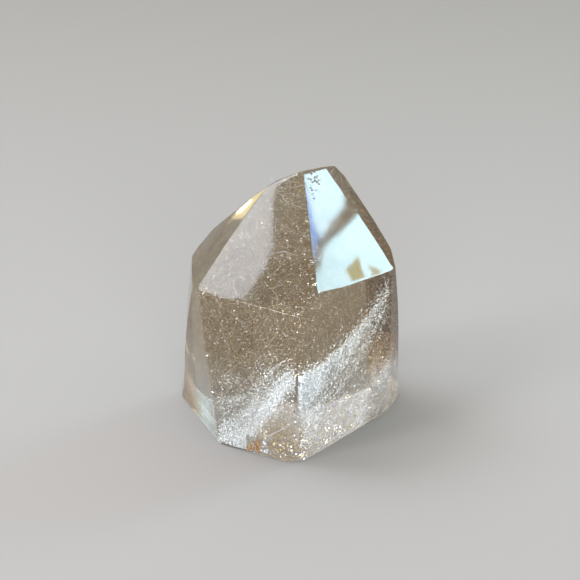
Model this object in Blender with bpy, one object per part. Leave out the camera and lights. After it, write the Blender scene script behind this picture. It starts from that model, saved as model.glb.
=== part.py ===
# Smoky quartz freeform: one polished piece of quartz, about 28 mm tall, sawn flat at its foot.
#
# The stone is cut the way a lapidary cuts it. It starts as a rough block, and every flat face is one plane
# that takes away what lies outside it. A plane is given by three numbers about the stone's upright axis:
# the azimuth that it faces (0 is the front, -Y, and 90 is the right, +X), its slope above the horizon
# (90 is straight up) and its distance from the point where the axis meets the foot.
# Modelled in metres, +Z up. The origin is the middle of the foot: the bottom centre of the stone's box.

import math

import bmesh
import bpy
from mathutils import Vector

MM = 0.001

# Driving dimensions, in millimetres and degrees
BLOCK_SIDE = 60.0  # the rough block, larger than the finished stone on every side
EDGE_ROUND = 0.2  # what polishing takes off each sharp edge
EDGE_STEPS = 2  # flat strips across one rounded edge
SHARP_ANGLE = 12.0  # faces that meet more sharply than this show an edge

# Facets around the waist, nearly upright: (azimuth, slope, distance)
WAIST = {
    "front_left": (-30, 1, 11.5),
    "front_right": (52, -1, 8.1),
    "left_corner": (-69, -4, 11.2),
    "left_side": (-87, 5, 13.4),
    "left_side_upper": (-87, 6, 13.6),
    "left_back_corner": (-112, 15, 17.1),
    "back_left": (-147, 5, 12.8),
    "back_right": (156, 6, 14.0),
    "right_back": (121, 8, 13.4),
    "right_side": (96, 5, 12.5),
    "right_corner": (67, -1, 9.4),
}

# Facets of the crown, which lean in to the ridge at the top: (azimuth, slope, distance)
CROWN = {
    "crown_left": (-27, 56, 21.0),
    "crown_right": (58, 46.9, 19.16),
    "crown_far_right": (68.4, 45, 19.6),
    "left_shoulder": (-87, 44, 20.8),
    "back_shoulder": (-126, 47, 22.9),
    "crown_back": (-136, 52, 24.3),
}

# Small break at the front corner of the foot: (azimuth, slope, distance)
TOE_CHIP = (12, -25, 10.9)

# The foot, a flat saw cut that faces straight down
FOOT = (0, -90, 0.0)


def direction(azimuth, slope):
    """Unit vector that faces this azimuth and slope."""
    turn = math.radians(azimuth)
    rise = math.radians(slope)
    level = math.cos(rise)
    return Vector((math.sin(turn) * level, -math.cos(turn) * level, math.sin(rise)))


def cut_facet(stone, azimuth, slope, distance):
    """Saw off everything outside one plane, and close the cut with a flat face."""
    normal = direction(azimuth, slope)
    parts = stone.verts[:] + stone.edges[:] + stone.faces[:]
    sawn = bmesh.ops.bisect_plane(
        stone,
        geom=parts,
        dist=1e-4 * MM,
        plane_co=normal * distance * MM,
        plane_no=normal,
        clear_outer=True,
    )
    rim = [item for item in sawn["geom_cut"] if isinstance(item, bmesh.types.BMEdge)]
    bmesh.ops.edgenet_fill(stone, edges=rim)


def rough_block():
    """Cube of raw stone around the axis."""
    stone = bmesh.new()
    bmesh.ops.create_cube(stone, size=BLOCK_SIDE * MM)
    return stone


def round_edges(stone):
    """Soften every edge, as the polishing wheel does."""
    bmesh.ops.bevel(
        stone,
        geom=stone.edges[:],
        offset=EDGE_ROUND * MM,
        offset_type="OFFSET",
        segments=EDGE_STEPS,
        profile=0.5,
        affect="EDGES",
        clamp_overlap=True,
    )


def stand_on_origin(stone):
    """Move the stone so that the bottom centre of its box is the origin."""
    low, high = (
        Vector([pick(vert.co[axis] for vert in stone.verts) for axis in range(3)])
        for pick in (min, max)
    )
    middle = (low + high) / 2
    middle.z = low.z
    bmesh.ops.translate(stone, verts=stone.verts[:], vec=-middle)


def smoky_quartz():
    """Clear quartz with a grey-brown body colour and a glassy polish."""
    material = bpy.data.materials.new("smoky_quartz")
    material.use_nodes = True
    shader = material.node_tree.nodes["Principled BSDF"]
    shader.inputs["Base Color"].default_value = (0.42, 0.34, 0.25, 1.0)
    shader.inputs["Roughness"].default_value = 0.04
    shader.inputs["Metallic"].default_value = 0.0
    shader.inputs["IOR"].default_value = 1.544
    shader.inputs["Transmission Weight"].default_value = 1.0
    return material


def quartz_freeform():
    """The whole stone, as one closed solid."""
    stone = rough_block()
    for facet in (FOOT, *WAIST.values(), *CROWN.values(), TOE_CHIP):
        cut_facet(stone, *facet)
    bmesh.ops.dissolve_degenerate(stone, dist=1e-3 * MM, edges=stone.edges[:])
    round_edges(stone)
    bmesh.ops.recalc_face_normals(stone, faces=stone.faces[:])
    stand_on_origin(stone)
    mesh = bpy.data.meshes.new("quartz_freeform")
    stone.to_mesh(mesh)
    stone.free()
    mesh.shade_smooth()
    mesh.set_sharp_from_angle(angle=math.radians(SHARP_ANGLE))
    mesh.materials.append(smoky_quartz())
    piece = bpy.data.objects.new("quartz_freeform", mesh)
    bpy.context.scene.collection.objects.link(piece)
    return piece


for leftover in list(bpy.data.objects):
    bpy.data.objects.remove(leftover)
quartz_freeform()
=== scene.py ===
import itertools

import bmesh
import bpy
import numpy as np
from mathutils import Matrix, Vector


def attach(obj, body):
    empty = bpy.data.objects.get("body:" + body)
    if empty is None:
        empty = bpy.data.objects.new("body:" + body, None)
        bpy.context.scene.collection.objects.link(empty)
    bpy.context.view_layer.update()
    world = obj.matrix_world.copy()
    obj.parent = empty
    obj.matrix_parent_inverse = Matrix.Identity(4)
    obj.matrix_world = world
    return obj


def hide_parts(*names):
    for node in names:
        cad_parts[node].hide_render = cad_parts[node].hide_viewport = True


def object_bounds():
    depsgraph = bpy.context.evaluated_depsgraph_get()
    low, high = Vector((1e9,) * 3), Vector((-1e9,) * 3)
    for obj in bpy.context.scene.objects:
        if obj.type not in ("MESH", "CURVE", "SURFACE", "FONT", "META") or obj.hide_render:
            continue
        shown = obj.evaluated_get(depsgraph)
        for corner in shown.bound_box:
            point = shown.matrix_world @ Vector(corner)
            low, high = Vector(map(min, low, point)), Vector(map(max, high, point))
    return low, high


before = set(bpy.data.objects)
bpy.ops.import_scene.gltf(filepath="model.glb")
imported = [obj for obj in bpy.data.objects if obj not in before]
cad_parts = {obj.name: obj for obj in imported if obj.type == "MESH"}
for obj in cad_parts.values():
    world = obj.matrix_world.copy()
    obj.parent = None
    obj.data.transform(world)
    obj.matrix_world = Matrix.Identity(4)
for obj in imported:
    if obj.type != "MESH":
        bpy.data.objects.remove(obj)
cadBox = [[float(x) for x in corner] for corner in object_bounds()]
mm = 0.001
scene = bpy.context.scene
print("frame loaded")


def linear(hexColour):
    # sRGB hex to the linear colour that a shader socket takes
    s = np.array([int(hexColour[i:i + 2], 16) for i in (1, 3, 5)]) / 255
    rgb = np.where(s <= 0.04045, s / 12.92, ((s + 0.055) / 1.055) ** 2.4)
    return (*rgb.tolist(), 1.0)


def addNode(tree, kind, values=None, links=None, **settings):
    # one shader node with its settings, its socket values and what feeds it
    node = tree.nodes.new("ShaderNode" + kind)
    for name, value in settings.items():
        setattr(node, name, value)
    for name, value in (values or {}).items():
        node.inputs[name].default_value = value
    for name, source in (links or {}).items():
        tree.links.new(source, node.inputs[name])
    return node


def emptyMaterial(name):
    material = bpy.data.materials.new(name)
    material.use_nodes = True
    material.node_tree.nodes.clear()
    return material, material.node_tree


def unit(vectors):
    return vectors / np.linalg.norm(vectors, axis=-1, keepdims=True)


def facing(azimuth, slope):
    # unit vectors: azimuth 0 is the front (-Y), 90 the right (+X); slope is the rise above the horizon
    a, s = np.radians(azimuth), np.radians(slope)
    return np.stack([np.sin(a) * np.cos(s), -np.cos(a) * np.cos(s), np.sin(s)], -1)


def smoothStep(x):
    # 3 x^2 - 2 x^3, held from 0 to 1
    x = np.clip(x, 0, 1)
    return x * x * (3 - 2 * x)


def addObject(name, data):
    made = bpy.data.objects.new(name, data)
    scene.collection.objects.link(made)
    return made


def stonePiece(name, mesh):
    # one object at the origin, riding on the stone
    piece = addObject(name, mesh)
    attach(piece, "root")
    return piece


def meshPiece(name, points, faces, material, smooth=True, shade=None):
    # a piece of points (n, 3) in metres and faces (m, 3 or 4); shade is a number from 0 to 1 at each point,
    # which the material may read
    mesh = bpy.data.meshes.new(name)
    mesh.vertices.add(len(points))
    mesh.vertices.foreach_set("co", points.astype(np.float32).ravel())
    mesh.loops.add(faces.size)
    mesh.loops.foreach_set("vertex_index", faces.astype(np.int32).ravel())
    mesh.polygons.add(len(faces))
    mesh.polygons.foreach_set("loop_start", np.arange(len(faces), dtype=np.int32) * faces.shape[1])
    mesh.update(calc_edges=True)
    mesh.polygons.foreach_set("use_smooth", np.full(len(faces), smooth))
    mesh.materials.append(material)
    if shade is not None:
        attribute = mesh.attributes.new("shade", "FLOAT", "POINT")
        attribute.data.foreach_set("value", shade.astype(np.float32))
    return stonePiece(name, mesh)


stone = dict(
    middle=(-0.83, 1.07, 0.0),  # mm, the point on the foot that comes to the origin
    # flat faces, each (azimuth, slope, distance in mm from the point that they were measured from)
    facets=dict(
        foot=(0, -90, 0.0), frontLeft=(-30, 1, 11.5), frontRight=(52, -1, 8.1),
        leftCorner=(-69, -4, 11.2), leftSide=(-87, 5, 13.4), leftSideUpper=(-87, 6, 13.6),
        leftBackCorner=(-112, 15, 17.1), backLeft=(-147, 5, 12.8), backRight=(156, 6, 14.0),
        rightBack=(121, 8, 13.4), rightSide=(96, 5, 12.5), rightCorner=(67, -1, 9.4),
        crownLeft=(-27, 56, 21.0), crownRight=(58, 46.9, 19.16), crownFarRight=(68.4, 45, 19.6),
        leftShoulder=(-87, 44, 20.8), backShoulder=(-126, 47, 22.9), crownBack=(-136, 52, 24.3),
        toeChip=(12, -25, 10.9),
    ),
    edgeRadius=0.2,  # mm, how far polishing has rounded the edges
    edgeSteps=4,  # strips across one rounded edge
    spacing=0.45,  # mm between points of the grid
    ringStretch=1.4,  # how much further apart the rings inside a face are
    weld=0.0005,  # mm, points nearer than this become one
    edgeOn=0.05,  # a plane that points forward by less than this is none of the front ones
    bulge=0.10,  # how far each face swells, as a power of the distance from the middle
    bulgeMiddle=(0.0, 0.0, 12.0),  # mm
    bulgeSize=14.5,  # mm, where the swelling is nil
    waves=6, waveHeight=0.004, waveLength=(5.0, 11.0), seed=4,  # mm, hand-polished waviness
    backWaves=8, backHeight=0.022, backLength=(2.2, 6.0),  # mm, more of it on the faces turned away
    backTurn=0.5,  # how far back a normal points, as its y, where all of that is there
    footFade=2.5,  # mm above the foot over which bulge and waves come in
    ior=1.544,
    ground=0.34, polished=0.055,  # roughness of the foot and of the faces
    groundHeight=(0.02, 0.3),  # mm above the foot, between which ground turns to polished
    colour="#c4b89a", colourDensity=19.0,  # of the light that passes, and per metre
    skin=0.97,  # the share of a lamp's light that a face lets through
)
# unit normals and distances in mm of the flat faces, from the origin of the finished stone
azimuths, slopes, distances = np.transpose(list(stone["facets"].values()))
normals = facing(azimuths, slopes)
distances = distances - normals @ np.array(stone["middle"])


def cutCorners(normals, distances):
    # every point where three planes meet, kept where no other plane cuts it off
    sets = np.array(list(itertools.combinations(range(len(normals)), 3)))
    sets = sets[np.abs(np.linalg.det(normals[sets])) > 1e-5]  # not nearly parallel
    points = np.linalg.solve(normals[sets], distances[sets][..., None])[..., 0]
    kept = (points @ normals.T <= distances + 1e-6).all(1)  # with slack for rounding
    return sets[kept], points[kept]


def gridFaces(rows, columns, closed=False, ring=False):
    # quads of a grid stored row by row; closed joins its last column to its first, and ring its last row
    r, c = np.meshgrid(np.arange(rows - (not ring)), np.arange(columns - (not closed)), indexing="ij")
    below, right = (r + 1) % rows, (c + 1) % columns
    quads = [r * columns + c, r * columns + right, below * columns + right, below * columns + c]
    return np.stack(quads, -1).reshape(-1, 4)


def joined(lots):
    # several lots of points, faces and a value at each point as one
    starts = np.cumsum([0] + [len(points) for points, faces, values in lots])
    lots = [(points, faces + start, values) for (points, faces, values), start in zip(lots, starts)]
    return [np.concatenate(part) for part in zip(*lots)]


def between(a, b, t):
    # unit vector a turned towards unit vector b by the share t of the angle between them
    angle = np.arccos(np.clip((a * b).sum(-1, keepdims=True), -1, 1))
    angle = np.maximum(angle, 1e-9)
    return (np.sin((1 - t) * angle) * a + np.sin(t * angle) * b) / np.sin(angle)


def facetPatch(rim, normal, rings):
    # a face is centre + share * (rim - centre): share runs from 0 to 1 and the rim point runs round
    centre = rim.mean(0)
    share = np.linspace(0, 1, rings + 1)[:, None, None]
    points = (centre + share * (rim - centre)).reshape(-1, 3)
    return points, gridFaces(rings + 1, len(rim), closed=True), np.broadcast_to(normal, points.shape)


def edgePatch(start, end, normalA, normalB, along, across):
    # a rounded edge is start + u * (end - start), pushed out along a normal that turns from A to B with v
    u = np.linspace(0, 1, along + 1)[:, None, None]
    v = np.linspace(0, 1, across + 1)[None, :, None]
    normals = between(normalA, normalB, v) + 0 * u
    points = start + u * (end - start) + 0 * v
    return points.reshape(-1, 3), gridFaces(along + 1, across + 1), normals.reshape(-1, 3)


def cornerPatch(corner, normals, across):
    # a rounded corner is a ball's triangle: u turns the normal from A to the far side, v runs from B to C
    u = np.linspace(0, 1, across + 1)[:, None, None]
    v = np.linspace(0, 1, across + 1)[None, :, None]
    a, b, c = normals
    side = between(b, c, v)
    turned = between(a + 0 * side, side, u)
    points = np.broadcast_to(corner, turned.shape)
    return points.reshape(-1, 3), gridFaces(across + 1, across + 1), turned.reshape(-1, 3)


def waviness(points, rng, count, lengths):
    # the sum of plane waves, sin(2 pi * way . point / length + phase), each with random values
    way = unit(rng.normal(size=(count, 3)))
    length = rng.uniform(*lengths, (count, 1))
    phase = rng.uniform(0, 2 * np.pi, count)
    return np.sin(points @ (way * 2 * np.pi / length).T + phase).sum(1, keepdims=True)


def swelling(points):
    # how far the faces swell, in mm: way from the middle * ((size / distance from the middle) ^ bulge - 1)
    fromMiddle = points - np.array(stone["bulgeMiddle"])
    reach = np.linalg.norm(fromMiddle, axis=1, keepdims=True)
    return fromMiddle * ((stone["bulgeSize"] / reach) ** stone["bulge"] - 1)


def polishedShape(points, normals):
    # swells the faces, adds the waves of hand polishing, and leaves the foot flat; all in mm
    rng = np.random.default_rng(stone["seed"])
    fine = waviness(points, rng, stone["waves"], stone["waveLength"]) * stone["waveHeight"]
    back = waviness(points, rng, stone["backWaves"], stone["backLength"]) * stone["backHeight"]
    back *= smoothStep(normals[:, 1:2] / stone["backTurn"])
    fade = smoothStep(points[:, 2:3] / stone["footFade"])
    return points + fade * (swelling(points) + normals * (fine + back))


def stoneSurface():
    # the flat-faced body shrunk by the edge radius and grown back by it: flat faces, round edges
    radius, across = stone["edgeRadius"], stone["edgeSteps"]
    sets, corners = cutCorners(normals, distances - radius)
    patches = []
    rims = {k: [] for k in range(len(normals))}
    for i, j in itertools.combinations(range(len(normals)), 2):
        ends = np.flatnonzero((sets == i).any(1) & (sets == j).any(1))
        if len(ends) == 2:
            start, end = corners[ends]
            along = max(1, int(np.ceil(np.linalg.norm(end - start) / stone["spacing"])))
            patches.append(edgePatch(start, end, normals[i], normals[j], along, across))
            line = start + np.linspace(0, 1, along + 1)[:, None] * (end - start)
            rims[i].append(line)
            rims[j].append(line)
    for k, lines in rims.items():
        rim = np.unique(np.round(np.concatenate(lines), 7), axis=0)
        centre = rim.mean(0)
        sideways = np.cross(normals[k], (0.3, 0.5, 0.8))
        turn = np.arctan2((rim - centre) @ np.cross(normals[k], sideways), (rim - centre) @ sideways)
        rim = rim[np.argsort(turn)]
        reach = np.linalg.norm(rim - centre, axis=1).max()
        rings = int(np.ceil(reach / stone["spacing"] / stone["ringStretch"]))
        patches.append(facetPatch(rim, normals[k], rings))
    for trio, corner in zip(sets, corners):
        patches.append(cornerPatch(corner, normals[trio], across))
    points, faces, outward = joined(patches)
    return polishedShape(points + outward * radius, outward) * mm, faces


def smokyQuartz():
    # smoky quartz, cut and polished: glass-clear, a warm grey-brown that deepens with thickness;
    # the foot is left ground, which blurs what it mirrors
    material, tree = emptyMaterial("smokyQuartz")
    place = addNode(tree, "TexCoord")
    apart = addNode(tree, "SeparateXYZ", None, {"Vector": place.outputs["Object"]})
    polish = addNode(tree, "MapRange", {
        "From Min": stone["groundHeight"][0] * mm, "From Max": stone["groundHeight"][1] * mm,
        "To Min": stone["ground"], "To Max": stone["polished"]}, {"Value": apart.outputs["Z"]})
    shader = addNode(tree, "BsdfPrincipled", {
        "Base Color": (1, 1, 1, 1), "IOR": stone["ior"], "Transmission Weight": 1.0}, {
        "Roughness": polish.outputs["Result"]})
    smoke = addNode(tree, "VolumeAbsorption", {
        "Color": linear(stone["colour"]), "Density": stone["colourDensity"]})
    # lamps shine straight through the skin, which lights what lies inside evenly
    through = addNode(tree, "BsdfTransparent", {"Color": (*[stone["skin"]] * 3, 1)})
    path = addNode(tree, "LightPath")
    skin = addNode(tree, "MixShader", None, {
        "Fac": path.outputs["Is Shadow Ray"], 1: shader.outputs["BSDF"], 2: through.outputs["BSDF"]})
    addNode(tree, "OutputMaterial", links={
        "Surface": skin.outputs["Shader"], "Volume": smoke.outputs["Volume"]})
    return material


def makeStone():
    points, faces = stoneSurface()
    piece = meshPiece("quartz_body", points, faces, smokyQuartz())
    shape = bmesh.new()
    shape.from_mesh(piece.data)
    bmesh.ops.remove_doubles(shape, verts=shape.verts[:], dist=stone["weld"] * mm)
    bmesh.ops.dissolve_degenerate(shape, edges=shape.edges[:], dist=stone["weld"] * mm)
    bmesh.ops.recalc_face_normals(shape, faces=shape.faces[:])
    openEdges = sum(1 for edge in shape.edges if len(edge.link_faces) != 2)
    volume = round(shape.calc_volume(signed=True) / mm ** 3, 1)
    shape.to_mesh(piece.data)
    shape.free()
    piece.data.shade_smooth()
    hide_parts("quartz_freeform")
    print("stone", len(piece.data.polygons), "faces, open edges", openEdges, "volume mm3", volume)


makeStone()


def ways(count, rng):
    # unit vectors in every direction alike
    return unit(rng.normal(size=(count, 3)))


def squareTo(way, rng):
    # two unit vectors square to each given one and to each other, turned at random
    first = unit(np.cross(way, ways(len(way), rng)))
    return first, np.cross(way, first)


def under(points, margin):
    # True for each point in mm that lies deeper than margin under every face of the stone
    return (points @ normals.T <= distances - margin).all(1)


def frontOf(x, z):
    # how far forward the stone reaches at x and z: the nearest of its planes that face forward
    ahead = normals[:, 1] < -stone["edgeOn"]
    n = normals[ahead]
    return ((distances[ahead] - x[:, None] * n[:, 0] - z[:, None] * n[:, 2]) / n[:, 1]).max(1)


def spreadInside(count, margin, rng, ahead, depth):
    # points in mm spread evenly through the stone, a share of them close behind its front faces,
    # where they thin out with depth
    low, high = np.array(cadBox) / mm
    points = rng.uniform(low, high, (3 * count, 3))  # more than enough, as many fall outside
    front = rng.random(len(points)) < ahead
    points[front, 1] = frontOf(*points[front][:, [0, 2]].T) + margin + rng.exponential(depth, front.sum())
    return points[under(points, margin)][:count]


def repeated(pattern, count, step):
    # the faces of one small shape, repeated for every copy of it
    return (pattern + np.arange(count)[:, None, None] * step).reshape(-1, 3)


def threads(path, radius, rng):
    # a thread runs from tip to tip of its path; each path point between carries a ring of three points,
    # path + radius * (cos a * side + sin a * up), and ring is joined to ring
    count, steps = path.shape[0], path.shape[1] - 2
    side, up = squareTo(unit(path[:, -1] - path[:, 0]), rng)
    a = np.arange(3)[:, None] * 2 * np.pi / 3
    ring = np.cos(a) * side[:, None] + np.sin(a) * up[:, None]
    inner = path[:, 1:-1, None] + radius[..., None, None] * ring[:, None]
    points = np.concatenate([path[:, :1], inner.reshape(count, -1, 3), path[:, -1:]], 1)
    here = np.arange(3)
    after = (here + 1) % 3
    low = 1 + 3 * np.arange(steps - 1)[:, None]
    last, top = 1 + 3 * steps, 3 * steps - 2
    pattern = np.concatenate([
        np.stack([0 * here, 1 + after, 1 + here], -1),
        np.stack([low + here, low + after, low + 3 + after], -1).reshape(-1, 3),
        np.stack([low + here, low + 3 + after, low + 3 + here], -1).reshape(-1, 3),
        np.stack([last + 0 * here, top + here, top + after], -1)])
    return points.reshape(-1, 3), repeated(pattern, count, last + 1), last + 1


def flakes(centres, axes, halves):
    # a flake is a flat lozenge, centre +- half-size along its first two axes, with a low point behind it
    arms = axes * halves[..., None]
    points = centres[:, None] + np.concatenate([arms[:, :2], -arms[:, :2], -arms[:, 2:]], 1)
    pattern = np.array([[0, 1, 2], [0, 2, 3], [1, 0, 4], [2, 1, 4], [3, 2, 4], [0, 3, 4]])
    return points.reshape(-1, 3), repeated(pattern, len(centres), 5), 5


cloud = dict(
    inset=0.12,  # mm of clear quartz round the cloud
    weld=0.02,  # mm, corners nearer than this become one
    step=0.25,  # how finely the haze is sampled, as a share of the usual step
    forward=-0.25,  # below 0, more of the light is sent back than on
    # a run is (from, to, low, high): low turns to high while an x, height or depth in mm, or a noise, goes
    # from one to the other, and without low and high it turns from 0 to 1
    smoky=(2.5, 11.5),  # pale haze turns to smoke with height
    clearer=(14.5, 23.5, 1.0, 0.28),  # and the smoke thins out towards the point
    haze=(28.0, 38.0),  # per metre, how often light is scattered in the pale and in the smoky part
    hazeColour="#f4fbff", smokyTint="#efd8b8",
    lean=(-10.0, 9.0, 1.25, 0.5),  # how the haze changes from the left side to the right
    wisp=2.2, wisps=(0.3, 0.7, 0.2, 1.8),  # mm, size of the lighter and denser wisps, and noise to haze
    smoke=78.0,  # per metre, added in the smoky part
    smokeColour="#cdac52",
    leftSmoke=(-8.6, -11.2, 0.0, 3.3), leftLow=(2.0, 8.0, 1.5, 1.0),  # smoke at the left side, more of it low
    rightSmoke=(5.0, 9.0, 0.0, 2.3), rightAbove=(4.0, 9.0),  # and at the right side, none of it low
    # a brown patch in the toe: its x and height, how it thins out away from them, and behind the face
    toe=(-0.9, 1.8), toeSmoke=(0.0, 4.4, 3.4, 0.0), toeDepth=(2.0, 4.0, 1.0, 0.0),
    # silky streaks: mm along, behind and across them, their slope in degrees, and noise to haze
    silkSize=(5.0, 1.5, 0.45), silkSlope=58.0, silk=(0.35, 0.68, 0.25, 1.5),
    # the milky cloud low behind the left front face: a soft band about a slanting line
    trailFrom=(-5.9, 1.3), trailSlope=56.0,  # (x, height) in mm and degrees
    trailAcross=(0.0, 2.1, 1.0, 0.0), trailStart=(-2.0, 1.0), trailEnd=(3.8, 9.6, 1.0, 0.0),
    trailHaze=520.0,
    # the milky fan behind the right front face: all that lies under a rising curve,
    # whose height is b + c * (x - a) + d * (x - a)^2
    fanCurve=(1.0, 10.0, 0.05, 0.055),
    fanRagged=(0.3, 0.7, -0.7, 0.7),  # noise to mm that the curve wanders
    fanEdge=(0.0, 0.4),  # mm below the curve, where the fan sets in
    fanReach=(1.0, 9.0, 7.0, 1.7), fanFade=(0.05, 1.0, 1.0, 0.0),  # mm that it hangs down, and how it fades
    fanThin=(1.5, 6.0, 1.0, 0.12), fanThick=(1.0, 2.8, 2.1, 1.0),  # thin to the right, thick at the edge
    fanLeft=(0.5, 0.78), fanBack=0.2,  # x between which it sets in, and mm further right per mm behind
    fanHaze=600.0,
    hemHaze=(0.0, 8.0, 200.0, 0.0), hemAside=(6.0, 9.0),  # a low milky hem on the right
    behind=(0.0, 3.0, 1.0, 0.0),  # how trail, fan and hem thin out behind the front faces
)
frontEdge = -14.27  # mm, the y of the front upright edge


def formula(tree, term):
    # works out a formula in nodes: a term is a number, a socket or a tuple of an operation and its terms,
    # and soft and even are runs, as a smooth step and in a straight line
    if not isinstance(term, tuple):
        return term
    name, *parts = term
    runs = dict(soft="SMOOTHSTEP", even="LINEAR")
    if name not in runs and len(parts) > 2:
        parts = [(name, *parts[:-1]), parts[-1]]
    parts = dict(enumerate(formula(tree, part) for part in parts))
    values = {i: part for i, part in parts.items() if isinstance(part, float)}
    links = {i: part for i, part in parts.items() if i not in values}
    if name in runs:
        return addNode(tree, "MapRange", values, links, interpolation_type=runs[name]).outputs[0]
    return addNode(tree, "Math", values, links, operation=name.upper()).outputs[0]


def depthUnder(tree, name, place):
    # mm from the point at place to one flat face of the stone
    row = list(stone["facets"]).index(name)
    dot = addNode(tree, "VectorMath", {1: normals[row].tolist()}, {0: place}, operation="DOT_PRODUCT")
    return formula(tree, ("subtract", float(distances[row]), dot.outputs["Value"]))


def cloudyQuartz():
    # haze of inclusions too fine to be seen one by one: milky near the foot, smoky brown towards the point,
    # in soft wisps, with a silky white trail and fan close behind the front faces
    material, tree = emptyMaterial("cloudyQuartz")
    material.cycles.volume_step_rate = cloud["step"]
    metres = addNode(tree, "TexCoord").outputs["Object"]
    inMm = addNode(tree, "VectorMath", {"Scale": 1 / mm}, {0: metres}, operation="SCALE")
    place = inMm.outputs[0]
    apart = addNode(tree, "SeparateXYZ", None, {"Vector": place})
    x, y, z = [apart.outputs[axis] for axis in "XYZ"]
    leftDepth, rightDepth, cornerDepth = [
        depthUnder(tree, name, place) for name in ("frontLeft", "frontRight", "rightCorner")]

    # the haze that fills the stone
    height = formula(tree, ("soft", z, *cloud["smoky"]))
    wisps = addNode(tree, "TexNoise", {
        "Scale": 1 / cloud["wisp"], "Detail": 2.0, "Roughness": 0.6, "Distortion": 0.6}, {"Vector": place})
    general = ("multiply", ("even", height, 0.0, 1.0, *cloud["haze"]),
               ("even", wisps.outputs["Fac"], *cloud["wisps"]), ("even", x, *cloud["lean"]))

    # silk is a noise squeezed across a slanting line, and much longer along it
    level = addNode(tree, "Mapping", {"Rotation": (0, np.radians(cloud["silkSlope"]), 0)}, {
        "Vector": place})
    squeezed = addNode(tree, "Mapping", {"Scale": [1 / size for size in cloud["silkSize"]]}, {
        "Vector": level.outputs["Vector"]})
    silk = addNode(tree, "TexNoise", {"Scale": 1.0, "Detail": 3.0, "Roughness": 0.65}, {
        "Vector": squeezed.outputs["Vector"]}).outputs["Fac"]

    # the trail: along and across are the place's distances along its line and from it
    slope = np.radians(cloud["trailSlope"])
    cos, sin = np.cos(slope), np.sin(slope)
    offX, offZ = [formula(tree, ("subtract", *pair)) for pair in zip((x, z), cloud["trailFrom"])]
    along = formula(tree, ("add", ("multiply", offX, cos), ("multiply", offZ, sin)))
    across = ("absolute", ("subtract", ("multiply", offZ, cos), ("multiply", offX, sin)))
    ends = ("multiply", ("soft", along, *cloud["trailStart"]), ("soft", along, *cloud["trailEnd"]))
    trail = ("multiply", ("soft", across, *cloud["trailAcross"]), ends, cloud["trailHaze"],
             ("soft", leftDepth, *cloud["behind"]))

    # the fan, and the hem below it
    middle, top, rise, bend = cloud["fanCurve"]
    aside = formula(tree, ("subtract", x, middle))
    curve = ("add", ("multiply", aside, ("add", ("multiply", aside, bend), rise)), top)
    below = formula(tree, ("add", ("subtract", curve, z), ("even", silk, *cloud["fanRagged"])))
    hung = ("divide", below, ("even", x, *cloud["fanReach"]))
    fanX = formula(tree, ("subtract", x, ("multiply", ("subtract", y, frontEdge), cloud["fanBack"])))
    fan = ("multiply", ("multiply", ("soft", below, *cloud["fanEdge"]), ("soft", hung, *cloud["fanFade"])),
           ("multiply", ("even", x, *cloud["fanThin"]), ("soft", x, *cloud["fanThick"])), cloud["fanHaze"],
           ("multiply", ("soft", rightDepth, *cloud["behind"]), ("soft", fanX, *cloud["fanLeft"])))
    hem = ("multiply", ("soft", z, *cloud["hemHaze"]), ("soft", x, *cloud["hemAside"]),
           ("soft", ("minimum", rightDepth, cornerDepth), *cloud["behind"]))
    veils = ("multiply", ("add", trail, ("add", fan, hem)), ("even", silk, *cloud["silk"]))

    # the smoke: in the upper part, near both sides and in the toe
    toeX, toeZ = [("power", ("subtract", *pair), 2.0) for pair in zip((x, z), cloud["toe"])]
    inToe = ("multiply", ("soft", fanX, *cloud["fanLeft"], 1.0, 0.0), ("soft", leftDepth, *cloud["toeDepth"]))
    smoky = ("maximum", ("multiply", height, ("soft", z, *cloud["clearer"])),
             ("multiply", ("soft", x, *cloud["leftSmoke"]), ("soft", z, *cloud["leftLow"])),
             ("multiply", ("soft", x, *cloud["rightSmoke"]), ("soft", z, *cloud["rightAbove"])),
             ("multiply", ("soft", ("sqrt", ("add", toeX, toeZ)), *cloud["toeSmoke"]), inToe))

    tint = addNode(tree, "Mix", {6: linear(cloud["hazeColour"]), 7: linear(cloud["smokyTint"])}, {
        "Factor": height}, data_type="RGBA")
    scatter = addNode(tree, "VolumeScatter", {"Anisotropy": cloud["forward"]}, {
        "Color": tint.outputs[2], "Density": formula(tree, ("add", general, veils))})
    smoke = addNode(tree, "VolumeAbsorption", {"Color": linear(cloud["smokeColour"])}, {
        "Density": formula(tree, ("multiply", smoky, cloud["smoke"]))})
    both = addNode(tree, "AddShader", None, {
        0: scatter.outputs["Volume"], 1: smoke.outputs["Volume"]})
    clear = addNode(tree, "BsdfTransparent")
    addNode(tree, "OutputMaterial", links={
        "Surface": clear.outputs["BSDF"], "Volume": both.outputs["Shader"]})
    return material


def makeCloud():
    # the stone's own flat faces moved inwards by the inset
    shape = bmesh.new()
    for corner in cutCorners(normals, distances - cloud["inset"])[1]:
        shape.verts.new(corner * mm)
    bmesh.ops.remove_doubles(shape, verts=shape.verts[:], dist=cloud["weld"] * mm)
    bmesh.ops.convex_hull(shape, input=shape.verts[:])
    bmesh.ops.recalc_face_normals(shape, faces=shape.faces[:])
    mesh = bpy.data.meshes.new("quartz_cloud")
    shape.to_mesh(mesh)
    shape.free()
    mesh.materials.append(cloudyQuartz())
    stonePiece("quartz_cloud", mesh)
    print("quartz_cloud", len(mesh.polygons), "faces")


makeCloud()


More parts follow.
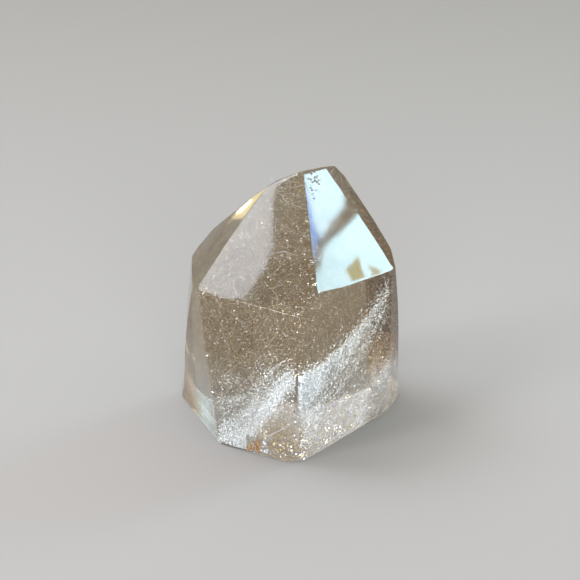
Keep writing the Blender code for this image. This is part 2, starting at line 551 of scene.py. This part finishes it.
def mineral(name, look):
    # grains of foreign mineral and healed cracks: each grain has its own shade between dark and light
    material, tree = emptyMaterial(name)
    shade = addNode(tree, "Attribute", attribute_name="shade")
    colour = addNode(tree, "Mix", {6: linear(look["dark"]), 7: linear(look["light"])}, {
        "Factor": shade.outputs["Fac"]}, data_type="RGBA")
    shader = addNode(tree, "BsdfPrincipled", {
        "Roughness": look["roughness"], "Metallic": look.get("metallic", 0.0)}, {
        "Base Color": colour.outputs[2]})
    addNode(tree, "OutputMaterial", links={"Surface": shader.outputs["BSDF"]})
    return material


def grainPiece(name, lots, material, smooth=False):
    # one piece of several lots, each its points in mm, its faces and a shade at each point
    points, faces, shade = joined(lots)
    meshPiece(name, points * mm, faces, material, smooth, shade)
    print(name, len(faces), "faces")


fibres = dict(
    # each value for short fibres, and for long hairs with more bends
    count=(27000, 3200), bends=(1, 3),
    length=((0.08, 0.36), (0.7, 3.4)), radius=((0.008, 0.018), (0.010, 0.019)),  # mm
    ahead=(0.72, 0.6), depth=(1.3, 1.6),  # the share close behind the front, and mm that it thins out over
    bow=0.10,  # how far a fibre's middle stands off, as a share of its length
    margin=0.18, tipMargin=0.16,  # mm of clear quartz over their middles and over their tips
    dark="#b9a684", light="#f7efe0", roughness=0.5,
    seed=21,
)


def makeFibres(kind, name):
    # a fibre runs from centre - half to centre + half of its length, its middle bowed aside
    rng = np.random.default_rng(fibres["seed"] + kind)
    count, bends, ahead, depth = [fibres[key][kind] for key in ("count", "bends", "ahead", "depth")]
    centres = spreadInside(count, fibres["margin"], rng, ahead, depth)
    count = len(centres)
    way = ways(count, rng)
    side = squareTo(way, rng)[0]
    half = rng.uniform(*fibres["length"][kind], (count, 1)) / 2
    bow = side * half * 2 * fibres["bow"] * rng.uniform(-1, 1, (count, 1))
    path = np.stack([centres + way * half * share + bow * (1 - share * share)
                     for share in np.linspace(-1, 1, bends + 2)], 1)
    radius = rng.uniform(*fibres["radius"][kind], (count, 1)) * np.ones((1, bends))
    whole = under(path[:, 0], fibres["tipMargin"]) & under(path[:, -1], fibres["tipMargin"])
    points, faces, step = threads(path[whole], radius[whole], rng)
    shade = np.repeat(rng.uniform(0, 1, whole.sum()) ** 1.5, step)  # dark ones are the more common
    grainPiece(name, [(points, faces, shade)], mineral(name + "Mineral", fibres))


grain = dict(
    thickness=0.006,  # mm, half of it
    margin=0.17,  # mm of clear quartz over a grain
    # the ways that grains turn to be seen behind each face
    left=(-0.07, -0.963, 0.262), right=(0.213, -0.943, 0.253), crown=(0.0, -0.91, 0.414),
    middle=(0.07, -0.95, 0.26),  # and between left and right
    rightFrom=1.3, crownFrom=15.5,  # mm, the x and the height where the right and the crown's face begin
)


def wayThere(x, z):
    # for each x and height in mm, the way that grains turn there
    way = np.where(x[:, None] > grain["rightFrom"], grain["right"], grain["left"])
    return np.where(z[:, None] > grain["crownFrom"], grain["crown"], way)


def flecks(centres, face, rng, look, streak=(1, 0, 0), margin=grain["margin"]):
    # flat flakes that face one way within a tumble and lie along a streak within a jitter; most are small
    count = len(centres)
    flat = unit(face + look["tumble"] * rng.normal(size=(count, 3)))
    side = unit(np.cross(flat, streak + look["jitter"] * rng.normal(size=(count, 3))))
    axes = np.stack([np.cross(side, flat), side, flat], 1)
    size = rng.random(count) ** 2
    halves = np.stack([look["halfLength"][0] + size * np.ptp(look["halfLength"]),
                       look["halfWidth"][0] + size * np.ptp(look["halfWidth"]),
                       np.full(count, grain["thickness"])], -1)
    reach = axes[:, 0] * halves[:, :1]
    whole = under(centres, margin) & under(centres + reach, margin) & under(centres - reach, margin)
    points, faces, step = flakes(centres[whole], axes[whole], halves[whole])
    return points, faces, np.repeat(rng.uniform(0, 1, whole.sum()), step)


dust = dict(
    # specks that lie anyhow, and larger glints that lie much as the face in front of them
    specks=dict(count=22000, margin=0.12, ahead=0.7, depth=1.6),
    glints=dict(count=8500, margin=0.15, ahead=0.6, depth=2.0),
    speckLook=dict(halfLength=(0.018, 0.04), halfWidth=(0.015, 0.03), tumble=0.9, jitter=1.0),
    glintLook=dict(halfLength=(0.04, 0.085), halfWidth=(0.035, 0.06), tumble=0.30, jitter=1.0),
    dark="#cfc4ae", light="#ffffff", roughness=0.28, metallic=0.9,
    seed=31,
)


def makeDust():
    # flakes at random places, most of them close behind the front faces
    rng = np.random.default_rng(dust["seed"])
    specks, glints = spreadInside(rng=rng, **dust["specks"]), spreadInside(rng=rng, **dust["glints"])
    lots = [flecks(specks, grain["middle"], rng, dust["speckLook"]),
            flecks(glints, wayThere(glints[:, 0], glints[:, 2]), rng, dust["glintLook"])]
    grainPiece("quartz_dust", lots, mineral("mineralDust", dust))


stain = dict(
    # streaks of the rusty claw near the toe, each (start, end, flakes, scatter, how pale), in mm
    streaks=(((-3.95, -11.30, 1.45), (-3.49, -11.62, 0.18), 190, 0.10, 0.15),
             ((-4.35, -11.12, 1.25), (-4.27, -11.20, 0.36), 110, 0.13, 0.4),
             ((-4.85, -10.85, 0.55), (-4.40, -11.10, 0.20), 70, 0.12, 0.9),
             ((-3.60, -11.50, 1.75), (-3.25, -11.70, 1.10), 70, 0.08, 0.5)),
    window=(-4.9, -3.1, 1.9),  # mm: no pale flecks between these x, below this height
    look=dict(halfLength=(0.05, 0.14), halfWidth=(0.03, 0.07), tumble=0.5, jitter=0.4),
    dark="#a4560f", light="#e2a54c", roughness=0.8,
    seed=71,
)


veil = dict(
    # curves of (x, height) in mm: the upper edges of the fan behind the right front face, of its dense patch
    # and of the hem low on the right, and the middle of the trail behind the left front face
    fan=((0.85, 9.95), (3.1, 10.2), (4.9, 11.0), (6.8, 12.2), (9.2, 14.4), (10.8, 16.1)),
    patch=((0.9, 8.6), (2.2, 9.0), (3.6, 9.6)),
    hem=((7.2, 2.6), (9.0, 4.2), (11.4, 6.6)),
    trail=((-8.0, -1.4), (-6.4, 0.2), (-5.1, 1.5), (-4.3, 3.1), (-2.9, 5.5), (-1.8, 7.0), (-0.6, 8.8),
           (0.6, 9.8)),
    # lots of flecks, each (piece, curve, flecks, blur in mm, how they gather at the curve's start, look)
    lots=(("quartz_veil", "fan", 15500, 0.38, 2.3, "fanLook"),
          ("quartz_veil", "patch", 6800, 0.3, 1.3, "fanLook"),
          ("quartz_veil", "hem", 6200, 0.4, 1.0, "trailLook"),
          ("quartz_veil", "fan", 2700, 0.9, 1.7, "grainLook"),
          ("quartz_milk", "trail", 24000, 0.35, 1.15, "trailLook"),
          ("quartz_milk", "trail", 1100, 0.5, 1.15, "grainLook")),
    tracks=420,  # lines that the flecks of a lot are combed into
    trackShare=(0.06, 0.30),  # length of a line as a share of the whole
    hang=2.5, hangPower=1.2, hangAbove=0.15,  # mm that lines hang down, how unevenly, and the share above
    trailWidth=(1.15, 3.3),  # mm, of the dense and of the thin part
    narrowing=(1.15, 0.75),  # a line's offset is times a - b * its share of the way along the curve
    margin=0.12, loose=0.15,  # mm behind the front face where flecks begin, and that they scatter by
    depth=0.55,  # mm, how quickly they thin out behind it
    frontX=0.9, back=(-0.577, 1.28),  # mm, x of the front edge, and how far each face runs back per mm
    slopeStep=0.2,  # mm over which a curve's slope is taken
    fanLook=dict(halfLength=(0.025, 0.13), halfWidth=(0.014, 0.05), tumble=0.20, jitter=0.3),
    trailLook=dict(halfLength=(0.02, 0.09), halfWidth=(0.012, 0.042), tumble=0.22, jitter=0.35),
    grainLook=dict(halfLength=(0.05, 0.12), halfWidth=(0.04, 0.07), tumble=0.22, jitter=0.5),
    dark="#dfe4e4", light="#f6fcff", roughness=0.3, metallic=0.55,
    seed=41,
)


def combed(curve, count, blur, gather, rng):
    # flecks in many short lines beside one curve: x runs from a line's start to its end, and height is
    # the curve's at x plus the line's own offset; returns points and the ways they lie
    tracks = veil["tracks"]
    curveX, curveZ = np.transpose(veil[curve])
    start = rng.random(tracks) ** gather
    length = rng.uniform(*veil["trackShare"], tracks)
    weight = rng.exponential(1, tracks) * length
    if curve == "trail":
        offset = np.where(rng.random(tracks) < 0.5, *veil["trailWidth"])
        offset *= rng.normal(size=tracks)
    else:
        hanging = rng.exponential(1, tracks) ** veil["hangPower"]
        offset = -veil["hang"] * (hanging - veil["hangAbove"])
    depth = rng.exponential(veil["depth"], tracks)
    track = rng.choice(tracks, 2 * count, p=weight / weight.sum())
    share = start[track] + 0.5 * length[track] * rng.normal(size=2 * count)
    kept = np.flatnonzero((share > 0) & (share < 1))[:count]
    track, share, count = track[kept], share[kept], len(kept)
    x = curveX[0] + (curveX[-1] - curveX[0]) * share
    step = veil["slopeStep"]
    slope = (np.interp(x + step, curveX, curveZ) - np.interp(x - step, curveX, curveZ)) / (2 * step)
    wide, narrower = veil["narrowing"]
    beside = offset[track] * (wide - narrower * share)
    z = np.interp(x, curveX, curveZ) + beside + blur * rng.normal(size=count)
    y = frontOf(x, z) + veil["margin"] + depth[track] + veil["loose"] * rng.random(count)
    back = np.where(x < veil["frontX"], *veil["back"])
    return np.stack([x, y, z], -1), np.stack([np.ones(count), back, slope], -1)


def makeVeil():
    # flakes along combed lines, clear of the rusty claw and each behind its own face
    rng = np.random.default_rng(veil["seed"])
    farLeft, nearLeft, top = stain["window"]
    pieces = dict(quartz_veil=[], quartz_milk=[])
    for name, curve, count, blur, gather, look in veil["lots"]:
        centres, streak = combed(curve, count, blur, gather, rng)
        x, y, z = centres.T
        own = (x < farLeft) | (x > nearLeft) | (z > top)
        if curve != "trail":
            own &= x > cloud["fanLeft"][1] + cloud["fanBack"] * (y - frontEdge)
        face = grain["left" if curve == "trail" else "right"]
        pieces[name].append(flecks(centres[own], face, rng, veil[look], streak[own]))
    healed = mineral("healedCrack", veil)
    for name, lots in pieces.items():
        grainPiece(name, lots, healed)


sparks = dict(
    # coarser bright grains, each lot (count, x from, to, height from, to, depth, half-size from, to) in mm
    lots=dict(
        toe=(420, -3.6, 8.5, 0.15, 3.0, 0.9, 0.05, 0.19),
        glints=(420, 1.0, 7.0, 0.3, 6.0, 0.9, 0.04, 0.12),
        silver=(560, 1.2, 11.0, 1.5, 9.0, 1.4, 0.05, 0.14),
        body=(600, -9.0, 11.5, 3.0, 17.0, 1.4, 0.045, 0.11),
        crown=(520, -9.0, 3.5, 16.5, 27.5, 1.0, 0.04, 0.10),
        ridge=(60, -2.6, 0.6, 26.6, 28.0, 0.3, 0.05, 0.12),
    ),
    tints=((0.0, "#ffffff"), (0.62, "#a9c8ff"), (0.76, "#fff09a"), (0.92, "#8d7bff"), (0.95, "#ffffff")),
    plain=0.9,  # all lots but the silver one stop short of the violet tint
    margin=0.15,  # mm behind the front face where they begin
    width=(0.6, 0.7),  # of the smallest and the largest, as a share of the length
    look=dict(tumble=0.24, jitter=1.0),
    roughness=0.25, metallic=0.5,
    seed=51,
)


def rainbowGrain():
    # coarse grains with a sliver of air behind them, a few of which show blue, yellow and violet
    material, tree = emptyMaterial("rainbowGrain")
    shade = addNode(tree, "Attribute", attribute_name="shade")
    colours = addNode(tree, "ValToRGB", None, {"Fac": shade.outputs["Fac"]})
    stops = colours.color_ramp
    stops.interpolation = "CONSTANT"
    for position, colour in sparks["tints"][1:]:
        stops.elements.new(position)
    stops.elements.remove(stops.elements[-1])
    for element, (position, colour) in zip(stops.elements, sparks["tints"]):
        element.position = position
        element.color = linear(colour)
    shader = addNode(tree, "BsdfPrincipled", {
        "Roughness": sparks["roughness"], "Metallic": sparks["metallic"]}, {
        "Base Color": colours.outputs["Color"]})
    addNode(tree, "OutputMaterial", links={"Surface": shader.outputs["BSDF"]})
    return material


def makeSparks():
    # flakes at a random x and height, each at a random depth behind the front there
    rng = np.random.default_rng(sparks["seed"])
    lots = []
    for name, (count, *ranges, depth, small, large) in sparks["lots"].items():
        x, z = rng.uniform(*ranges[:2], count), rng.uniform(*ranges[2:], count)
        y = frontOf(x, z) + sparks["margin"] + rng.exponential(depth, count)
        narrow, wide = sparks["width"]
        look = dict(halfLength=(small, large), halfWidth=(narrow * small, wide * large), **sparks["look"])
        points, faces, shade = flecks(np.stack([x, y, z], -1), wayThere(x, z), rng, look)
        lots.append((points, faces, shade * (1 if name == "silver" else sparks["plain"])))
    grainPiece("quartz_sparks", lots, rainbowGrain())


marks = dict(
    # single needles, hairline cracks and two painted highlights (white threads where the foot's far edge
    # shows through the front faces), each (radius in mm, points that it runs through in mm)
    lines=dict(
        dash=(0.05, ((-6.63, -8.27, 9.66), (-6.18, -8.53, 9.68))),
        needle=(0.022, ((-7.44, -7.83, 7.94), (-5.84, -8.72, 9.56))),
        # painted highlights: white threads along the bright line where the far edge of the foot shows through
        # the front faces
        leftFootEdgeHighlight=(0.06, ((-2.96, -11.6, 1.96), (-1.4, -12.47, 3.26), (0.14, -13.33, 4.53))),
        rightFootEdgeHighlight=(0.06, ((0.9, -13.42, 3.61), (3.02, -10.71, 3.88), (5.43, -7.65, 4.01),
                           (7.77, -4.66, 4.34))),
        arc=(0.045, ((2.22, -11.83, 7.1), (2.9, -10.93, 5.94), (3.58, -10.02, 4.78), (4.28, -9.09, 3.34))),
        pointCrack=(0.024, ((-0.92, 1.51, 25.81), (-0.69, 0.82, 25.45), (-0.02, 0.10, 25.23))),
        crownHair=(0.026, ((-2.13, -5.5, 21.43), (-0.59, -5.74, 21.76), (1.05, -6.85, 21.6))),
    ),
    sway=0.02,  # mm, how far they wander
    taper=0.4,  # how bluntly they thin to their tips
    steps=9,
    dark="#e4e0d8", light="#ffffff", roughness=0.5,
    seed=61,
)


def makeMarks():
    # each runs evenly through its points, and is radius * sin(pi * share of its length)^taper thick
    rng = np.random.default_rng(marks["seed"])
    share = np.linspace(0, 1, marks["steps"])
    paths, radii = [], []
    for radius, points in marks["lines"].values():
        points = np.array(points)
        gone = np.concatenate([[0], np.cumsum(np.linalg.norm(np.diff(points, axis=0), axis=1))])
        path = np.stack([np.interp(share, gone / gone[-1], points[:, k]) for k in range(3)], -1)
        path[1:-1] += marks["sway"] * rng.normal(size=(marks["steps"] - 2, 3))
        paths.append(path)
        radii.append(radius * np.sin(np.pi * share[1:-1]) ** marks["taper"])
    points, faces = threads(np.array(paths), np.array(radii), rng)[:2]
    grainPiece("quartz_marks", [(points, faces, np.ones(len(points)))], mineral("crackAndHighlightLine", marks))


def makeStain():
    # flakes at start + share * (end - start), scattered
    rng = np.random.default_rng(stain["seed"])
    lots = []
    for start, end, count, scatter, pale in stain["streaks"]:
        share = rng.random((count, 1))
        way = np.array(end) - np.array(start)
        centres = np.array(start) + share * way + scatter * rng.normal(size=(count, 3))
        points, faces, shade = flecks(centres, grain["left"], rng, stain["look"], unit(way))
        lots.append((points, faces, (shade + pale) / 2))
    grainPiece("quartz_rust", lots, mineral("ironRust", stain))


pits = dict(
    # small open pits in the right crown face, each (x, y, height, radius), in mm
    rings=((2.08, 3.36, 27.46, 0.07), (2.31, 3.44, 27.31, 0.06), (2.77, 4.17, 27.31, 0.07),
           (2.53, 3.22, 27.03, 0.08), (2.77, 3.73, 27.09, 0.07), (2.99, 3.66, 26.88, 0.08),
           (3.22, 3.59, 26.66, 0.06), (3.00, 4.53, 27.30, 0.04), (3.23, 4.17, 26.95, 0.06),
           (2.43, 4.42, 27.70, 0.05), (2.78, 5.04, 27.73, 0.04), (2.30, 2.14, 26.68, 0.04),
           (2.41, 1.82, 26.43, 0.05), (2.86, 2.25, 26.28, 0.03), (2.46, 1.30, 26.14, 0.03),
           (2.62, 0.75, 25.73, 0.06)),
    lip=0.055,  # mm, half the thickness of a ring
    proud=0.9,  # how far a ring's middle stands off the face, as a share of its lip
    wobble=(0.2, 0.1), phase=6.28,  # how far from round, in two and in three waves turned at random
    around=14, across=6,
    dark="#54452f", light="#a3957c", roughness=0.6,
    seed=81,
)


def makePits():
    # a ring is middle + (radius * wobble + lip * cos b) * (cos a * side + sin a * up) + lip * sin b * normal
    rng = np.random.default_rng(pits["seed"])
    row = list(stone["facets"]).index("crownRight")
    normal, lip = normals[row], pits["lip"]
    side = unit(np.cross(normal, (0, 0, 1)))
    up = np.cross(side, normal)
    a = np.arange(pits["around"])[:, None] * 2 * np.pi / pits["around"]
    b = np.arange(pits["across"])[None, :] * 2 * np.pi / pits["across"]
    faces = gridFaces(pits["around"], pits["across"], closed=True, ring=True)[:, [0, 3, 2, 1]]
    lots = []
    for *place, radius in pits["rings"]:
        place = np.array(place)
        middle = place + normal * (distances[row] - place @ normal + pits["proud"] * lip)
        wobble = 1 + sum(much * np.sin(times * a + rng.uniform(0, pits["phase"]))
                         for times, much in enumerate(pits["wobble"], 2))
        out = (radius * wobble + lip * np.cos(b))[..., None]
        points = middle + out * (np.cos(a)[..., None] * side + np.sin(a)[..., None] * up)
        points = (points + (lip * np.sin(b))[..., None] * normal).reshape(-1, 3)
        lots.append((points + swelling(points), faces, np.full(len(points), rng.random())))
    grainPiece("quartz_pits", lots, mineral("pitRim", pits), smooth=True)


lint = dict(
    # pale specks of dust on the polished faces, each lot (count, x from, to, height from, to), in mm
    lots=((150, -9.0, 3.0, 17.5, 27.5), (90, -10.0, 10.0, 2.0, 17.0)),
    look=dict(halfLength=(0.04, 0.10), halfWidth=(0.03, 0.08), tumble=0.25, jitter=1.0),
    lift=0.02,  # mm above the face
    margin=-0.6,  # mm: below 0, they may stand so far outside the flat faces
    dark="#d8d2c6", light="#ffffff", roughness=0.8,
    seed=91,
)


def makeLint():
    # flakes that lie on the front faces at a random x and height
    rng = np.random.default_rng(lint["seed"])
    lots = []
    for count, *ranges in lint["lots"]:
        x, z = rng.uniform(*ranges[:2], count), rng.uniform(*ranges[2:], count)
        centres = np.stack([x, frontOf(x, z), z], -1)
        row = np.abs(centres @ normals.T - distances).argmin(1)
        centres = centres + swelling(centres) + lint["lift"] * normals[row]
        lots.append(flecks(centres, normals[row], rng, lint["look"], margin=lint["margin"]))
    grainPiece("quartz_lint", lots, mineral("paleLint", lint))


makeFibres(0, "quartz_fibres")
makeFibres(1, "quartz_hairs")
makeDust()
makeVeil()
makeSparks()
makeMarks()
makeStain()
makePits()
makeLint()


stage = dict(
    floorSide=3.0,  # m
    floorGap=0.05,  # mm of air under the foot
    # painted shade: the floor's colour turns darker towards the back, where less light falls
    floorColour="#b6b2ae", floorFarShade="#9d9890", farShadeFrom=(0.02, 0.26),  # m behind the stone
    floorRough=0.9, floorShine=0.1,
    cameraPlace=(-0.07, -200.83, 96.16),  # mm
    cameraPitch=22.0,  # degrees below level
    lens=117.93, sensor=36.0,  # mm
    nearest=0.01,  # m, what is nearer to the camera isn't seen
    worldColour="#fffaf4", worldStrength=0.44,
    bounces=dict(max=32, diffuse=12, glossy=12, transmission=24, volume=0, transparent_max=64),
    aimHeight=0.018,  # m, the height in the stone that the lights look at
)


def sheet(name, corners, material):
    # a flat sheet that belongs to the set
    mesh = bpy.data.meshes.new(name)
    mesh.from_pydata(corners.tolist(), [], [list(range(len(corners)))])
    mesh.materials.append(material)
    addObject(name, mesh)


def makeFloor():
    # matt pale card whose colour darkens a little towards the back, as painted shade
    material, tree = emptyMaterial("paleFloor")
    place = addNode(tree, "TexCoord")
    apart = addNode(tree, "SeparateXYZ", None, {"Vector": place.outputs["Object"]})
    farShade = formula(tree, ("even", apart.outputs["Y"], *stage["farShadeFrom"]))
    colour = addNode(tree, "Mix", {6: linear(stage["floorColour"]), 7: linear(stage["floorFarShade"])}, {
        "Factor": farShade}, data_type="RGBA")
    shader = addNode(tree, "BsdfPrincipled", {
        "Roughness": stage["floorRough"], "Specular IOR Level": stage["floorShine"]}, {
        "Base Color": colour.outputs[2]})
    addNode(tree, "OutputMaterial", links={"Surface": shader.outputs["BSDF"]})
    square = np.array([[-1, -1, 0], [1, -1, 0], [1, 1, 0], [-1, 1, 0]])
    sheet("floor", square * stage["floorSide"] / 2 - (0, 0, stage["floorGap"] * mm), material)


lights = dict(
    # each (middle of the light as a way from the stone, distance in m, size in degrees, radiance, colour)
    back=((-0.22, 0.92, 0.40), 2.0, (76, 28), 1.24, "#e8f1ff"),
    front=((0.05, -0.97, 0.24), 1.2, (36, 16), 14.6, "#fbfdff"),
    edge=((-0.74, -0.46, 0.49), 1.2, (13, 30), 9.0, "#ffffff"),
)
pane, over, shoulder = (0.67, 0.51, 0.53), (-0.44, 0.21, 0.87), (-0.38, 0.92, 0.03)
cards = dict(
    # glowing cards, each (way, m away, radiance, colour, corners in degrees aside and up from that way)
    overhead=(over, 1.2, 6.5, "#eef4ff", (
        (-16.0, 1.6), (-6.8, 2.5), (-4.5, 3.3), (0.0, 3.9), (3.4, 3.8), (5.9, 3.2), (9.0, 2.2), (17.0, -1.0),
        (17.0, -25.0), (-17.0, -25.0))),
    paneLow=(pane, 1.5, 13.2, "#c4edfa", (
        (-6.6, 3.0), (-4.6, 1.85), (-2.7, 1.25), (-0.5, -0.05), (2.2, -2.35), (4.65, -4.85), (9.0, -9.2),
        (5.0, -14.0), (-12.0, -9.0))),
    paneHigh=(pane, 1.5, 12.3, "#c6ecff", (
        (-0.6, 0.65), (2.6, -1.5), (4.7, -3.4), (11.0, -6.9), (13.0, -3.0), (4.4, 0.3), (2.4, 0.5))),
    paneBlue=(pane, 1.5, 8.5, "#6faeff", (
        (-4.4, 2.3), (-2.6, 1.7), (-0.5, 0.7), (2.4, 0.5), (4.4, 0.3), (5.0, 1.5), (-4.0, 4.5))),
    oliveNear=(pane, 1.45, 6.0, "#c6c58a", (
        (-5.3, -3.0), (-3.9, -1.4), (-2.6, -2.6), (-0.3, -4.3), (-2.1, -4.4), (-5.1, -4.7))),
    oliveFar=(pane, 1.45, 6.8, "#cfd1a4", ((-4.4, -6.2), (-0.9, -5.6), (-0.6, -7.0), (-3.6, -7.6))),
    shoulderGlow=(shoulder, 2.0, 2.6, "#f7e7b0", (
        (-7.0, -1.9), (-1.2, -1.9), (1.0, 1.0), (-1.0, 4.0), (-7.0, 4.0))),
    shoulderCore=(shoulder, 1.95, 9.0, "#fff8dc", ((-2.5, -1.7), (-1.5, -1.8), (-1.3, -1.3), (-2.0, -0.8))),
    shoulderFade=(shoulder, 2.05, 1.35, "#efdcae", ((-5.0, -3.8), (-0.6, -3.5), (-0.9, -1.8), (-7.0, -1.8))),
)


def aimed(way):
    # the unit way, with the level way and the upward way square to it
    away = unit(way)
    aside = unit(np.cross((0, 0, 1), away))
    return away, aside, np.cross(away, aside)


def makeLight(name, way, distance, size, radiance, colour):
    # a soft rectangular light: of area A and radiance L it gives pi * A * L watts
    away, aside, up = aimed(way)
    lamp = bpy.data.lights.new(name, "AREA")
    lamp.shape = "RECTANGLE"
    width, height = 2 * distance * np.tan(np.radians(size) / 2)
    lamp.size, lamp.size_y = width, height
    lamp.energy = np.pi * width * height * radiance
    lamp.color = linear(colour)[:3]
    turned = np.eye(4)
    turned[:3, :3] = np.stack([aside, up, away], 1)
    turned[:3, 3] = away * distance + (0, 0, stage["aimHeight"])
    addObject(name, lamp).matrix_world = Matrix(turned)


def makeCard(name, way, distance, radiance, colour, corners):
    # a glowing card whose corners stand at away + tan(angle) times the level and the upward way
    away, aside, up = aimed(way)
    slopes = np.tan(np.radians(corners))
    points = distance * (away + slopes[:, :1] * aside + slopes[:, 1:] * up) + (0, 0, stage["aimHeight"])
    material, tree = emptyMaterial(name)
    glow = addNode(tree, "Emission", {"Color": linear(colour), "Strength": radiance})
    addNode(tree, "OutputMaterial", links={"Surface": glow.outputs["Emission"]})
    sheet(name, points, material)


def makeWorld():
    world = bpy.data.worlds.new("softRoom")
    world.use_nodes = True
    world.node_tree.nodes.clear()
    back = addNode(world.node_tree, "Background", {
        "Color": linear(stage["worldColour"]), "Strength": stage["worldStrength"]})
    addNode(world.node_tree, "OutputWorld", links={"Surface": back.outputs["Background"]})
    scene.world = world


def makeCamera():
    data = bpy.data.cameras.new("camera")
    data.lens = stage["lens"]
    data.sensor_width = stage["sensor"]
    data.sensor_fit = "HORIZONTAL"
    data.clip_start = stage["nearest"]
    camera = addObject("camera", data)
    camera.location = np.array(stage["cameraPlace"]) * mm
    camera.rotation_euler = (np.radians(90 - stage["cameraPitch"]), 0, 0)
    scene.camera = camera


makeFloor()
for name, values in lights.items():
    makeLight(name, *values)
for name, values in cards.items():
    makeCard(name, *values)
makeWorld()
makeCamera()
scene.view_settings.view_transform = "Standard"
scene.cycles.caustics_reflective = False
scene.cycles.caustics_refractive = False
for kind, most in stage["bounces"].items():
    setattr(scene.cycles, kind + "_bounces", most)
print("stage set")
